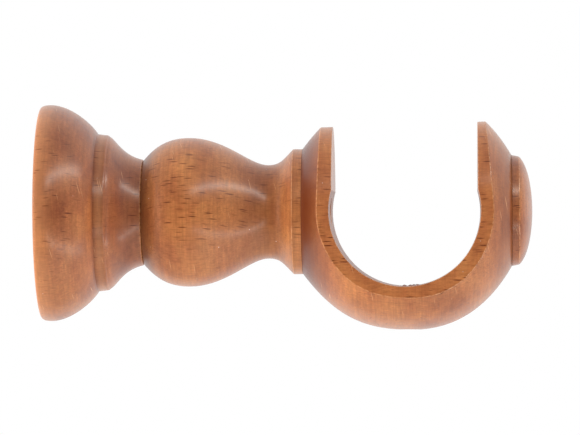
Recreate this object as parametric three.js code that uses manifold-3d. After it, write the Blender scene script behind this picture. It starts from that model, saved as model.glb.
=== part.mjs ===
// Turned beech wall bracket for a wooden curtain pole. Sizes are in millimetres.
// +X points out from the wall, +Z points up and the pole lies along Y.
// The wall plate's back is at X = 0, and every turned piece shares the X axis.
// A bored rose slides over a fixed stud, and the stem screws on the stud and clamps it.

import * as THREE from 'three';
import { mergeVertices } from 'three/addons/utils/BufferGeometryUtils.js';
import Module from 'manifold-3d';

const wasm = await Module();
wasm.setup();

// ---- Driving sizes ----

const poleDiameter = 50;
const slotClearance = 0.5;        // the slot is this much wider than the pole
const seatClearance = 2.5;        // the bore is this much wider than the pole
const jointGap = 0.2;             // between the end faces of two turned pieces

const roseDepth = 35.9;           // wall face to the stem
const roseRadius = 37.9;
const roseBackRadius = 36.4;      // flat ring that lies on the wall
const rimDepth = 3.5;             // rounding from the back to the widest place
const bellDepth = 16.4;           // widest place to the bead
const beadRadius = 27.6;
const beadTaper = 0.5;
const beadWidth = 3.7;
const waistRadius = 18.4;         // end of the cove, where rose and stem meet

const stemLength = 55.5;
const vaseRadius = 26.06;
const vaseRise = 15.9;            // waist to the widest place of the vase
const vaseFall = 27.6;            // widest place of the vase to the neck
const neckRadius = 16.38;
const neckFlare = 8.8;            // neck to the fillet
const filletRadius = 21.9;

const cupBackWall = 9.55;         // wood behind the pole's bore, on the axis
const cupFrontWall = 10.85;       // wood in front of the bore, on the axis
const cupFloor = 15.35;           // wood under the bore
const crownOffset = 2.4;          // widest place of the ball, ahead of the pole's centre
const cupWidth = 57;              // thickness of the board it is turned from, along the pole
const backArmTop = 29.6;          // height of the board's rounded top, at the slot's two walls
const frontArmTop = 31.1;

const buttonRadius = 19.4;
const buttonTaper = 0.5;
const buttonFillet = 2.5;
const buttonDome = 4.5;
const spigotRadius = 6;
const spigotLength = 8.5;
const spigotGap = 0.1;

const plateRadius = 25;
const plateThickness = 3;
const plateEdge = 0.5;            // chamfer round the plate
const plateGap = 0.5;             // between the plate and the rose, all round
const wallScrewCircle = 16;       // radius of the circle of wall screw holes
const wallScrewRadius = 2.6;
const wallScrewHeadRadius = 4.8;
const wallScrewCount = 3;

const studRadius = 4;
const studLength = 54.5;
const studTip = 1.2;              // chamfer at the stud's end
const rivetHeadRadius = 6.5;
const rivetHeadDepth = 2;
const rivetGap = 0.1;
const roseHoleClearance = 0.6;    // round the stud, in the rose

const insertLength = 16;
const insertInset = 0.5;          // below the stem's end face
const insertWall = 1.6;
const insertThreadDepth = 0.9;
const insertThreadPitch = 2.5;
const insertSlotWidth = 1.6;
const insertSlotDepth = 2;
const insertGap = 0.15;
const studBoreGap = 0.08;         // running clearance between stud and insert
const studRunOut = 4;             // empty hole beyond the stud's end

const cupScrewRadius = 2.5;
const cupScrewRoot = 1.7;
const cupScrewHeadRadius = 4.8;
const cupScrewLength = 35;
const cupScrewShank = 9;          // plain length below the head's cone
const cupScrewPitch = 2.4;
const cupScrewPoint = 4;
const cupScrewSunk = 0.5;         // head below the bore's surface
const cupScrewGap = 0.15;
const cupScrewCrossReach = 2.64;  // recess for the driver
const cupScrewCrossWidth = 1.16;
const cupScrewCrossDepth = 1.84;

const poleScrewRadius = 1.75;
const poleScrewRoot = 1.2;
const poleScrewLength = 12;
const poleScrewPitch = 1.4;
const poleScrewPoint = 2.2;
const poleScrewHeadRadius = 3.2;
const poleScrewHeadHeight = 2.2;
const poleScrewSunk = 0.65;       // point below the bore's surface, with the pole free
const poleScrewDrive = 4.4;       // further travel up into the pole
const poleScrewOffset = 1.5;      // ahead of the pole's centre
const poleScrewGap = 0.1;
const poleScrewHeadGap = 0.5;
const poleScrewSlotWidth = 0.9;
const poleScrewSlotDepth = 1.1;

// Handles of the outline's curves: how far they reach along the axis, out from it and in to it.
const rimCurve = { leaveOut: 1.1, arrive: 2.3 };
const bellCurve = { leave: 5.9, arrive: 3.1, arriveOut: 4.8 };
const coveCurve = { leave: 2.5, leaveIn: 1.2, arrive: 7.7, arriveOut: 1.7 };
const vaseRiseCurve = { leave: 4.7, leaveOut: 5.6, arrive: 6.6 };
const vaseFallCurve = { leave: 12.6, arrive: 6.6 };
const neckCurve = { leave: 4.1, arrive: 3.7, arriveIn: 3.8 };
const ballRiseCurve = { leave: 12.3, leaveOut: 16.5, arrive: 15.1 };
const ballFallCurve = { leave: 10.8, arrive: 10.4, arriveOut: 18.1 };
const domeCurve = { leave: 3.5, leaveIn: 3.2 };

const woodSides = 48;
const metalSides = 24;
const seatSides = 64;
const curveSteps = 7;
const boardSteps = 24;            // round the board's top edge

// ---- Worked-out places ----

const slotWidth = poleDiameter + slotClearance;
const seatRadius = (poleDiameter + seatClearance) / 2;
const stemStart = roseDepth + jointGap;
const stemEnd = stemStart + stemLength;
const vaseCrown = stemStart + vaseRise;
const neckPlace = vaseCrown + vaseFall;
const filletPlace = neckPlace + neckFlare;
const cupStart = stemEnd + jointGap;
const poleReach = cupStart + cupBackWall + seatRadius;
const ballRadius = seatRadius + cupFloor;
const ballCrown = poleReach + crownOffset;
const cupEnd = poleReach + seatRadius + cupFrontWall;
const buttonStart = cupEnd + jointGap;
const insertStart = stemStart + insertInset;
const insertBore = studRadius + studBoreGap;
const insertRoot = insertBore + insertWall;
const insertRadius = insertRoot + insertThreadDepth;
const cupScrewHeadFace = poleReach - seatRadius - cupScrewSunk;
const cupScrewHeadDepth = cupScrewHeadRadius - cupScrewRadius;
const cupScrewTip = cupScrewHeadFace - cupScrewLength;
const accessRadius = spigotRadius + spigotGap;
const poleScrewX = poleReach + poleScrewOffset;
const poleScrewTip = -seatRadius - poleScrewSunk;
const poleScrewSeat = poleScrewTip - poleScrewLength;

// ---- Helpers ----

const along = { x: new THREE.Vector3(1, 0, 0), z: new THREE.Vector3(0, 0, 1) };
const up = new THREE.Vector3(0, 1, 0);

// An outline is drawn in (place along the axis, radius) and turned about the axis.
function turned(outline, sides, axis = along.x) {
  const points = outline.getPoints(curveSteps).map((p) => new THREE.Vector2(p.y, p.x));
  const geometry = new THREE.LatheGeometry(points, sides);
  geometry.applyQuaternion(new THREE.Quaternion().setFromUnitVectors(up, axis));
  return geometry;
}

function solid(geometry) {
  const bare = new THREE.BufferGeometry();
  bare.setAttribute('position', geometry.getAttribute('position'));
  bare.setIndex(geometry.getIndex());
  const merged = mergeVertices(bare, 1e-4);
  const index = merged.getIndex().array;
  const kept = [];
  for (let i = 0; i < index.length; i += 3) {
    const [a, b, c] = [index[i], index[i + 1], index[i + 2]];
    if (a !== b && b !== c && c !== a) kept.push(a, b, c);
  }
  const vertProperties = Float32Array.from(merged.getAttribute('position').array);
  const triVerts = Uint32Array.from(kept);
  return new wasm.Manifold(new wasm.Mesh({ numProp: 3, vertProperties, triVerts }));
}

function block(low, high) {
  const size = high.map((value, i) => value - low[i]);
  const centre = high.map((value, i) => (value + low[i]) / 2);
  return solid(new THREE.BoxGeometry(...size).translate(...centre));
}

function surface(manifold) {
  const cut = manifold.getMesh();
  const geometry = new THREE.BufferGeometry();
  geometry.setAttribute('position', new THREE.BufferAttribute(cut.vertProperties, 3));
  geometry.setIndex(new THREE.BufferAttribute(cut.triVerts, 1));
  return geometry.toNonIndexed();
}

function piece(name, manifold, material) {
  const geometry = surface(manifold);
  geometry.computeVertexNormals();
  const mesh = new THREE.Mesh(geometry, material);
  mesh.name = name;
  return mesh;
}

// Ridges of a coarse thread, drawn as rings from one place to another along an outline.
function ridges(outline, from, to, pitch, root, crest) {
  const step = Math.sign(to - from) * pitch;
  const count = Math.floor(Math.abs(to - from) / pitch);
  for (let i = 0; i < count; i += 1) {
    const start = from + i * step;
    outline.lineTo(start, root);
    outline.lineTo(start + step * 0.5, crest);
  }
  outline.lineTo(to, root);
}

// ---- Materials ----

const beech = new THREE.MeshStandardMaterial({ color: 0xb06a3c, roughness: 0.45, metalness: 0 });
const zincSteel = new THREE.MeshStandardMaterial({ color: 0xb4b8ba, roughness: 0.35, metalness: 1 });
const brass = new THREE.MeshStandardMaterial({ color: 0xc8a04a, roughness: 0.3, metalness: 1 });

// ---- Wall plate: a steel disc with three countersunk holes and a riveted stud ----

function wallPlate() {
  const rivetHole = studRadius + rivetGap;
  const rivetSink = rivetHeadRadius + rivetGap;
  const outline = new THREE.Path();
  outline.moveTo(0, rivetSink);
  outline.lineTo(0, plateRadius - plateEdge);
  outline.lineTo(plateEdge, plateRadius);
  outline.lineTo(plateThickness - plateEdge, plateRadius);
  outline.lineTo(plateThickness, plateRadius - plateEdge);
  outline.lineTo(plateThickness, rivetHole);
  outline.lineTo(rivetHeadDepth + rivetGap, rivetHole);
  outline.closePath();
  let plate = solid(turned(outline, woodSides));

  const hole = new THREE.Path();
  const sinkDepth = wallScrewHeadRadius - wallScrewRadius;
  hole.moveTo(-1, 0);
  hole.lineTo(-1, wallScrewRadius);
  hole.lineTo(plateThickness - sinkDepth, wallScrewRadius);
  hole.lineTo(plateThickness, wallScrewHeadRadius);
  hole.lineTo(plateThickness + 1, wallScrewHeadRadius);
  hole.lineTo(plateThickness + 1, 0);
  for (let i = 0; i < wallScrewCount; i += 1) {
    const angle = Math.PI / 2 + (i * 2 * Math.PI) / wallScrewCount;
    const place = [0, wallScrewCircle * Math.cos(angle), wallScrewCircle * Math.sin(angle)];
    plate = plate.subtract(solid(turned(hole, metalSides).translate(...place)));
  }
  return plate;
}

// ---- Mounting stud: riveted flush in the plate, with a chamfered end ----

function mountingStud() {
  const outline = new THREE.Path();
  outline.moveTo(0, 0);
  outline.lineTo(0, rivetHeadRadius);
  outline.lineTo(rivetHeadDepth, studRadius);
  outline.lineTo(studLength - studTip, studRadius);
  outline.lineTo(studLength, studRadius - studTip);
  outline.lineTo(studLength, 0);
  return solid(turned(outline, metalSides));
}

// ---- Wall rose: a bell, a bead and a cove, hollowed at the back for the plate ----

function wallRose() {
  const widest = rimDepth;
  const bead = widest + bellDepth;
  const cove = bead + beadWidth;
  const recessRadius = plateRadius + plateGap;
  const recessDepth = plateThickness + plateGap;
  const holeRadius = studRadius + roseHoleClearance;
  const outline = new THREE.Path();
  outline.moveTo(0, recessRadius);
  outline.lineTo(0, roseBackRadius);
  outline.bezierCurveTo(
    0, roseBackRadius + rimCurve.leaveOut, widest - rimCurve.arrive, roseRadius, widest, roseRadius,
  );
  outline.bezierCurveTo(
    widest + bellCurve.leave, roseRadius,
    bead - bellCurve.arrive, beadRadius + bellCurve.arriveOut,
    bead, beadRadius,
  );
  outline.lineTo(cove, beadRadius - beadTaper);
  outline.bezierCurveTo(
    cove + coveCurve.leave, beadRadius - beadTaper - coveCurve.leaveIn,
    roseDepth - coveCurve.arrive, waistRadius + coveCurve.arriveOut,
    roseDepth, waistRadius,
  );
  outline.lineTo(roseDepth, holeRadius);
  outline.lineTo(recessDepth, holeRadius);
  outline.lineTo(recessDepth, recessRadius);
  outline.closePath();
  return solid(turned(outline, woodSides));
}

// ---- Stem: a vase, a neck and a fillet, bored from both ends ----

function stem() {
  const insertHole = insertRadius + insertGap;
  const insertHoleEnd = insertStart + insertLength + insertGap;
  const studHole = insertBore + insertGap;
  const studHoleEnd = studLength + studRunOut;
  const screwHole = cupScrewRadius + cupScrewGap;
  const screwHoleEnd = cupScrewTip - cupScrewGap;
  const outline = new THREE.Path();
  outline.moveTo(studHoleEnd, 0);
  outline.lineTo(studHoleEnd, studHole);
  outline.lineTo(insertHoleEnd, studHole);
  outline.lineTo(insertHoleEnd, insertHole);
  outline.lineTo(stemStart, insertHole);
  outline.lineTo(stemStart, waistRadius);
  outline.bezierCurveTo(
    stemStart + vaseRiseCurve.leave, waistRadius + vaseRiseCurve.leaveOut,
    vaseCrown - vaseRiseCurve.arrive, vaseRadius,
    vaseCrown, vaseRadius,
  );
  outline.bezierCurveTo(
    vaseCrown + vaseFallCurve.leave, vaseRadius,
    neckPlace - vaseFallCurve.arrive, neckRadius,
    neckPlace, neckRadius,
  );
  outline.bezierCurveTo(
    neckPlace + neckCurve.leave, neckRadius,
    filletPlace - neckCurve.arrive, filletRadius - neckCurve.arriveIn,
    filletPlace, filletRadius,
  );
  outline.lineTo(stemEnd, filletRadius);
  outline.lineTo(stemEnd, screwHole);
  outline.lineTo(screwHoleEnd, screwHole);
  outline.lineTo(screwHoleEnd, 0);
  return solid(turned(outline, woodSides));
}

// ---- Threaded insert: a slotted bush that grips the stem and runs on the stud ----

function threadedInsert() {
  const end = insertStart + insertLength;
  const outline = new THREE.Path();
  outline.moveTo(insertStart, insertBore);
  ridges(outline, insertStart, end, insertThreadPitch, insertRoot, insertRadius);
  outline.lineTo(end, insertBore);
  outline.closePath();
  const reach = insertRadius + 1;
  const slot = block(
    [insertStart - 1, -reach, -insertSlotWidth / 2],
    [insertStart + insertSlotDepth, reach, insertSlotWidth / 2],
  );
  return solid(turned(outline, metalSides)).subtract(slot);
}

// ---- Cup screw: joins cup and stem, driven through the front hole before it is plugged ----

function cupScrew() {
  const shankEnd = cupScrewHeadFace - cupScrewHeadDepth - cupScrewShank;
  const outline = new THREE.Path();
  outline.moveTo(cupScrewTip, 0);
  outline.lineTo(cupScrewTip + cupScrewPoint, cupScrewRoot);
  ridges(outline, cupScrewTip + cupScrewPoint, shankEnd, cupScrewPitch, cupScrewRoot, cupScrewRadius);
  outline.lineTo(shankEnd, cupScrewRadius);
  outline.lineTo(cupScrewHeadFace - cupScrewHeadDepth, cupScrewRadius);
  outline.lineTo(cupScrewHeadFace, cupScrewHeadRadius);
  outline.lineTo(cupScrewHeadFace, 0);
  const arm = cupScrewCrossReach;
  const half = cupScrewCrossWidth / 2;
  const floor = cupScrewHeadFace - cupScrewCrossDepth;
  const roof = cupScrewHeadFace + 1;
  const across = block([floor, -arm, -half], [roof, arm, half]);
  const recess = across.add(block([floor, -half, -arm], [roof, half, arm]));
  return solid(turned(outline, metalSides)).subtract(recess);
}

// ---- Pole cup: a ball turned from a board, with a bore for the pole and an open slot ----

// The board leaves a flat on each side of the ball and a round edge on top. It was mounted
// on the lathe a little out of line, so its top rises towards the front.
function cupBoard() {
  const half = cupWidth / 2;
  const far = ballRadius + cupEnd;
  const section = new THREE.Shape();
  section.moveTo(-half, -far);
  section.lineTo(half, -far);
  section.absarc(0, 0, half, 0, Math.PI);
  section.closePath();
  const settings = { depth: 2 * far, bevelEnabled: false, curveSegments: boardSteps };
  const board = new THREE.ExtrudeGeometry(section, settings);
  board.translate(0, 0, -far);
  board.applyMatrix4(new THREE.Matrix4().makeBasis(up, along.z, along.x));
  board.rotateY(-Math.atan((frontArmTop - backArmTop) / slotWidth));
  board.translate(poleReach, 0, (backArmTop + frontArmTop) / 2 - half);
  return solid(board);
}

function poleCup() {
  const screwHole = cupScrewRadius + cupScrewGap;
  const headHole = cupScrewHeadRadius + cupScrewGap;
  const headCone = cupScrewHeadFace - cupScrewHeadDepth;
  const outline = new THREE.Path();
  outline.moveTo(cupStart, screwHole);
  outline.lineTo(cupStart, filletRadius);
  outline.bezierCurveTo(
    cupStart + ballRiseCurve.leave, filletRadius + ballRiseCurve.leaveOut,
    ballCrown - ballRiseCurve.arrive, ballRadius,
    ballCrown, ballRadius,
  );
  outline.bezierCurveTo(
    ballCrown + ballFallCurve.leave, ballRadius,
    cupEnd - ballFallCurve.arrive, buttonRadius + ballFallCurve.arriveOut,
    cupEnd, buttonRadius,
  );
  outline.lineTo(cupEnd, accessRadius);
  outline.lineTo(poleReach, accessRadius);
  outline.lineTo(poleReach, headHole);
  outline.lineTo(cupScrewHeadFace, headHole);
  outline.lineTo(headCone, screwHole);
  outline.closePath();
  let cup = solid(turned(outline, woodSides));

  const far = ballRadius + cupEnd;
  cup = cup.intersect(cupBoard());
  const bore = new THREE.CylinderGeometry(seatRadius, seatRadius, cupWidth + 4, seatSides);
  cup = cup.subtract(solid(bore.translate(poleReach, 0, 0)));
  const slot = slotWidth / 2;
  cup = cup.subtract(block([poleReach - slot, -far, 0], [poleReach + slot, far, far]));

  const pilot = poleScrewRadius + poleScrewGap;
  const counterbore = poleScrewHeadRadius + poleScrewHeadGap;
  const counterboreTop = poleScrewSeat + poleScrewDrive;
  const hole = new THREE.Path();
  hole.moveTo(-far, 0);
  hole.lineTo(-far, counterbore);
  hole.lineTo(counterboreTop, counterbore);
  hole.lineTo(counterboreTop, pilot);
  hole.lineTo(-seatRadius / 2, pilot);
  hole.lineTo(-seatRadius / 2, 0);
  return cup.subtract(solid(turned(hole, metalSides, along.z).translate(poleScrewX, 0, 0)));
}

// ---- Front button: a low dome with a spigot that plugs the front hole ----

function frontButton() {
  const dome = buttonStart + buttonFillet;
  const tip = dome + buttonDome;
  const domeRadius = buttonRadius - buttonTaper;
  const outline = new THREE.Path();
  outline.moveTo(buttonStart - spigotLength, 0);
  outline.lineTo(buttonStart - spigotLength, spigotRadius);
  outline.lineTo(buttonStart, spigotRadius);
  outline.lineTo(buttonStart, buttonRadius);
  outline.lineTo(dome, domeRadius);
  outline.bezierCurveTo(dome + domeCurve.leave, domeRadius - domeCurve.leaveIn, tip, domeRadius / 3, tip, 0);
  return solid(turned(outline, woodSides));
}

// ---- Pole screw: a slotted round-head screw that locks the pole from below ----

function poleScrew() {
  const outline = new THREE.Path();
  const seat = poleScrewSeat;
  outline.moveTo(seat - poleScrewHeadHeight, 0);
  outline.bezierCurveTo(
    seat - poleScrewHeadHeight, poleScrewHeadRadius * 0.6,
    seat - poleScrewHeadHeight * 0.6, poleScrewHeadRadius,
    seat, poleScrewHeadRadius,
  );
  outline.lineTo(seat, poleScrewRoot);
  ridges(outline, seat, poleScrewTip - poleScrewPoint, poleScrewPitch, poleScrewRoot, poleScrewRadius);
  outline.lineTo(poleScrewTip, 0);
  const reach = poleScrewHeadRadius + 1;
  const slot = block(
    [-reach, -poleScrewSlotWidth / 2, seat - poleScrewHeadHeight - 1],
    [reach, poleScrewSlotWidth / 2, seat - poleScrewHeadHeight + poleScrewSlotDepth],
  );
  const screw = solid(turned(outline, metalSides, along.z)).subtract(slot);
  return screw.translate([poleScrewX, 0, 0]);
}

// ---- Assembly ----

const bracket = new THREE.Group();
bracket.add(
  piece('wall_plate', wallPlate(), zincSteel),
  piece('mounting_stud', mountingStud(), zincSteel),
  piece('wall_rose', wallRose(), beech),
  piece('stem', stem(), beech),
  piece('threaded_insert', threadedInsert(), brass),
  piece('cup_screw', cupScrew(), zincSteel),
  piece('pole_cup', poleCup(), beech),
  piece('front_button', frontButton(), beech),
  piece('pole_screw', poleScrew(), brass),
);

export default bracket;
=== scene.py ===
# Turned beech curtain pole bracket: smooth turned wood, real threads and a soft studio.
# Lengths in the dictionaries are millimetres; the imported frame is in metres.
import math
import bmesh
import bpy
from mathutils import Matrix, Vector, noise


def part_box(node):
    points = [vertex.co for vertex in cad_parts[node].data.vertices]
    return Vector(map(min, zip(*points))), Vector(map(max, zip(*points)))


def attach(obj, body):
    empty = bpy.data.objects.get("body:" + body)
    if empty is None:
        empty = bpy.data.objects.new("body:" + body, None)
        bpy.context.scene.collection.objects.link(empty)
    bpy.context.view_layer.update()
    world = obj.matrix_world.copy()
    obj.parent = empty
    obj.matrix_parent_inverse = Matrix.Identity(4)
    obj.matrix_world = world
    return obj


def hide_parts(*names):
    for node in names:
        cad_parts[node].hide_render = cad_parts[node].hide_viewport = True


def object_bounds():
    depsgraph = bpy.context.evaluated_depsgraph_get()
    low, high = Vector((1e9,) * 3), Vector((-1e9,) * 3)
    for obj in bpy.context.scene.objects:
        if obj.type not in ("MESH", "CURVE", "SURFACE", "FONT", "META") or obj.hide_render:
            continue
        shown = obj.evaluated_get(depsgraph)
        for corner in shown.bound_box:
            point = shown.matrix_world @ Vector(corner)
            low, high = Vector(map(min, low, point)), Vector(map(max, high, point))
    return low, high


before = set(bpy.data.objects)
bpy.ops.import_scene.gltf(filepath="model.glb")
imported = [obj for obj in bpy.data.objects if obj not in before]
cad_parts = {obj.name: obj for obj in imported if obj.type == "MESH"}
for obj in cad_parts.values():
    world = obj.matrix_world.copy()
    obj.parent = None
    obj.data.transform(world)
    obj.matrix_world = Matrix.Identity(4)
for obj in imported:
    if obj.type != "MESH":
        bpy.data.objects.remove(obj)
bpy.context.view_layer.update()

mm = 0.001                     # one millimetre in the frame's metres
past = 1                       # how far a cutter reaches past what it cuts, in millimetres

# In metres: points nearer than these become one, and slivers thinner than these are dissolved
weld = {
    'outline': 1e-6,
    'turned': 2e-6,
    'cut': 2e-5,               # crumbs that a cut leaves, cleared before the edges are rounded
    'sliver': 1e-7,
    'roundedSliver': 1e-6,
}


def clearSelection():
    if bpy.context.object and bpy.context.object.mode != 'OBJECT':
        bpy.ops.object.mode_set(mode='OBJECT')
    bpy.ops.object.select_all(action='DESELECT')


def activate(piece):
    clearSelection()
    piece.select_set(True)
    bpy.context.view_layer.objects.active = piece


def settle(piece):
    # place, turn and scale go into the mesh, so that the object sits at the origin
    activate(piece)
    bpy.ops.object.transform_apply(location=True, rotation=True, scale=True)


def finishModifier(piece, modifier):
    activate(piece)
    bpy.ops.object.modifier_apply(modifier=modifier.name)


def cutWith(piece, cutter, operation='DIFFERENCE'):
    tool = piece.modifiers.new('cut', 'BOOLEAN')
    tool.operation = operation
    tool.object = cutter
    tool.solver = 'EXACT'
    finishModifier(piece, tool)
    bpy.data.objects.remove(cutter, do_unlink=True)


def boxIn(node):
    # a node's box in millimetres
    low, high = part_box(node)
    return Vector(low) / mm, Vector(high) / mm


def block(low, high):
    # a box between two corners in millimetres, to cut with
    clearSelection()
    bpy.ops.mesh.primitive_cube_add(size=1)
    cube = bpy.context.object
    cube.scale = [(b - a) * mm for a, b in zip(low, high)]
    cube.location = [(b + a) / 2 * mm for a, b in zip(low, high)]
    settle(cube)
    return cube


def drawOutline(knots, closed, fineness):
    # knots are (place, radius, handle in, handle out), with the handles measured from the knot
    clearSelection()
    bpy.ops.curve.primitive_bezier_curve_add()
    outline = bpy.context.object
    spline = outline.data.splines[0]
    spline.bezier_points.add(len(knots) - len(spline.bezier_points))
    spline.use_cyclic_u = closed
    spline.resolution_u = fineness
    for point, knot in zip(spline.bezier_points, knots):
        place = Vector((knot[0], 0, knot[1])) * mm
        into = knot[2] if len(knot) > 2 else None
        out = knot[3] if len(knot) > 3 else None
        point.handle_left_type = 'FREE' if into else 'VECTOR'
        point.handle_right_type = 'FREE' if out else 'VECTOR'
        point.co = place
        if into:
            point.handle_left = place + Vector((into[0], 0, into[1])) * mm
        if out:
            point.handle_right = place + Vector((out[0], 0, out[1])) * mm
    outline.matrix_world = Matrix()
    activate(outline)
    bpy.ops.object.convert(target='MESH')
    return bpy.context.object


def turnOnLathe(name, knots, finishes=(), closed=False, steps=160, fineness=14, upright=None):
    # the outline is spun about X, or about a vertical axis at x = upright
    piece = drawOutline(knots, closed, fineness)
    bpy.ops.object.mode_set(mode='EDIT')
    bpy.ops.mesh.select_all(action='SELECT')
    bpy.ops.mesh.remove_doubles(threshold=weld['outline'])
    bpy.ops.mesh.spin(steps=steps, angle=math.tau, center=(0, 0, 0), axis=(1, 0, 0))
    bpy.ops.mesh.select_all(action='SELECT')
    bpy.ops.mesh.remove_doubles(threshold=weld['turned'])
    bpy.ops.mesh.dissolve_degenerate(threshold=weld['sliver'])
    bpy.ops.mesh.select_all(action='SELECT')
    bpy.ops.mesh.normals_make_consistent(inside=False)
    bpy.ops.object.mode_set(mode='OBJECT')
    if upright is not None:
        piece.rotation_euler = (0, -math.pi / 2, 0)
        piece.location = (upright * mm, 0, 0)
        settle(piece)
    piece.name = name
    piece.data.name = name
    for material in finishes:
        piece.data.materials.append(material)
    return piece


softening = {
    'angle': 25,               # edges sharper than this are rounded
    'smoothBeyond': 10,        # and the shading is smooth up to this much more
    'crispReach': 0.1,         # how near an edge is to a crisp place
    'rounds': 2,
}
threadSoftening = {'angle': 60, 'rounds': 1}      # the ridges of a thread stay as they are


def softenEdges(piece, width, angle=softening['angle'], rounds=softening['rounds'], edgeSlot=0, crisp=()):
    # sharp edges get a small round, and the shading stays smooth across it
    activate(piece)
    bpy.ops.object.mode_set(mode='EDIT')
    bpy.ops.mesh.select_mode(type='EDGE')
    bpy.ops.mesh.select_all(action='SELECT')
    bpy.ops.mesh.remove_doubles(threshold=weld['cut'])
    bpy.ops.mesh.select_all(action='DESELECT')
    bpy.ops.mesh.edges_select_sharp(sharpness=math.radians(angle))
    shape = bmesh.from_edit_mesh(piece.data)
    for edge in shape.edges:
        middle = (edge.verts[0].co.x + edge.verts[1].co.x) / 2 / mm
        tight = any(abs(middle - place) < softening['crispReach'] for place in crisp)
        if tight or not edge.is_convex:
            edge.select = False            # inside corners and tight joints stay crisp
    shape.select_flush(False)
    bmesh.update_edit_mesh(piece.data)
    bpy.ops.mesh.bevel(
        offset=width * mm, offset_type='OFFSET', segments=rounds, affect='EDGES',
        clamp_overlap=False, material=edgeSlot,
    )
    bpy.ops.mesh.select_all(action='SELECT')
    bpy.ops.mesh.remove_doubles(threshold=weld['turned'])
    bpy.ops.mesh.dissolve_degenerate(threshold=weld['roundedSliver'])
    bpy.ops.object.mode_set(mode='OBJECT')
    bpy.ops.object.shade_smooth_by_angle(angle=math.radians(angle + softening['smoothBeyond']))
    shading = piece.modifiers.new('shading', 'WEIGHTED_NORMAL')      # flats stay flat up to the round
    shading.keep_sharp = True
    finishModifier(piece, shading)


def threadKnots(start, end, radius, pitch, share=8):
    # evenly spaced stations, share of them to a turn, to carry a thread
    count = max(2, math.ceil((end - start) / pitch * share))
    return [(start + (end - start) * index / count, radius) for index in range(count + 1)]


threadForm = {
    'endSlack': 0.01,          # a point this far past the thread's end still belongs to it
    'sideSlack': 0.05,         # and this far off its radius
    'crest': 1.25,             # above 1 the ridge has a flat top
    'ridge': 0.5,              # half a ridge's width, as a share of the pitch
    'fade': 0.5,               # turns over which it rises at an end
}


def windThread(piece, pitch, start, end, depth, near, ridge=threadForm['ridge']):
    # a right-hand ridge is raised on the surface at radius near; in a bore it is a groove
    slack, fade = threadForm['endSlack'], threadForm['fade'] * pitch
    for vertex in piece.data.vertices:
        x, y, z = vertex.co / mm
        radius = math.hypot(y, z)
        if not start - slack < x < end + slack or abs(radius - near) > threadForm['sideSlack']:
            continue
        phase = (x / pitch - math.atan2(z, y) / math.tau) % 1
        height = max(0, 1 - abs(phase - 0.5) / ridge)
        ends = min(1, (x - start) / fade, (end - x) / fade)
        grown = radius + depth * min(1, height * threadForm['crest']) * max(0, ends)
        vertex.co.y *= grown / radius
        vertex.co.z *= grown / radius


def sRgb(code):
    # a hex colour turned to linear light
    parts = [int(code[i:i + 2], 16) / 255 for i in (1, 3, 5)]
    return tuple(c / 12.92 if c <= 0.04045 else ((c + 0.055) / 1.055) ** 2.4 for c in parts) + (1,)


def addNode(tree, kind, settings=None, links=None):
    # a key that is one of the node's own properties sets it; any other, a name or a number, is a socket
    node = tree.nodes.new(kind)
    for key, value in (settings or {}).items():
        if isinstance(key, str) and hasattr(node, key):
            setattr(node, key, value)
    for key, value in (settings or {}).items():
        if not isinstance(key, str) or not hasattr(node, key):
            node.inputs[key].default_value = value
    for key, source in (links or {}).items():
        tree.links.new(source, node.inputs[key])
    return node


def newMaterial(name):
    material = bpy.data.materials.new(name)
    material.use_nodes = True
    material.node_tree.nodes.clear()
    return material, material.node_tree


# Beech, turned, wiped with a mid-brown stain and lacquered satin: the stain gives the eye
# soft orange and red-brown patches, and the rays show as short dark dashes along the grain.
# Groups of three are along, into and across the grain.
beechLook = {
    'light': '#c8824b',
    'middle': '#b0693c',
    'dark': '#8c4829',
    # the ray colour is also the painted shade in corners and hollows, and the pale wear colour also paints
    # raised rings paler as a painted highlight
    'ray': '#642a0f',
    'paleWearAndHighlight': '#dfa272',
    'dust': '#f3ece4',
    'driftScale': 0.035,       # the grain wanders over some 30 mm, and this far
    'driftReach': (2, 3, 2.5),
    'patch': 17,               # size of the soft patches
    'patchStretch': (1.1, 0.8, 0.8),
    'patchTone': 0.4,          # how far they lie to either side of the tint
    'fibreStretch': (0.22, 1.7, 1.7),
    'fibreTone': (0.79, 1.17),
    'turningPitch': 0.85,      # lathe marks, drawn coarser than they are so that they show
    'turningDrift': 0.09,      # how soon a mark changes on its way round
    'turningTone': (0.2, 0.13),      # how much darker and paler it gets
    'rayFacing': (0.5, 0.9),   # how squarely a face is turned to the bark where rays begin, and are full
    'rayCrowding': 0.3,
    'wornScale': 0.9,          # how fine the spots on a rubbed edge are, and how ragged
    'wornRange': (0.35, 0.65),
    'boredTint': -0.4,         # a bored surface is darker
    'scratchTurn': 14,         # degrees off the rings
    'turningHeight': 0.03,
    'fibreHeight': 0.02,
    'rayDepth': 0.012,
    'roughness': 0.4,
    'roughnessSwing': (0.1, 0.12),
    'matting': 0.35,           # rougher by this much where there is no gloss
    'ior': 1.45,
    'shine': 0.4,
    'coat': 0.65,
    'coatRoughness': 0.25,
}

# One mark lies in each cell: reach is half its size as a share of the cell, from the smallest to
# the largest, and share is how many of the cells hold one, with most at full strength above 1.
# Pores and speckles of end grain are drawn coarser than they are, so that they show.
beechMarks = {
    'ray': {'cell': (6.5, 50, 0.8), 'reach': (0.2, 0.36), 'share': 1.0},
    'pore': {'cell': (2.8, 20, 0.5), 'reach': (0.12, 0.3), 'share': 1.4, 'strength': 0.3},
    'speckle': {'cell': (0.9, 0.9, 0.9), 'reach': (0.25, 0.5), 'share': 0.9},
    'scratch': {'cell': (1.1, 20, 22), 'reach': (0.08, 0.17), 'share': 0.9, 'strength': 0.75},
    'dust': {'cell': (5, 5, 5), 'reach': (0.025, 0.055), 'share': 0.7, 'strength': 0.8},
}

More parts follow.
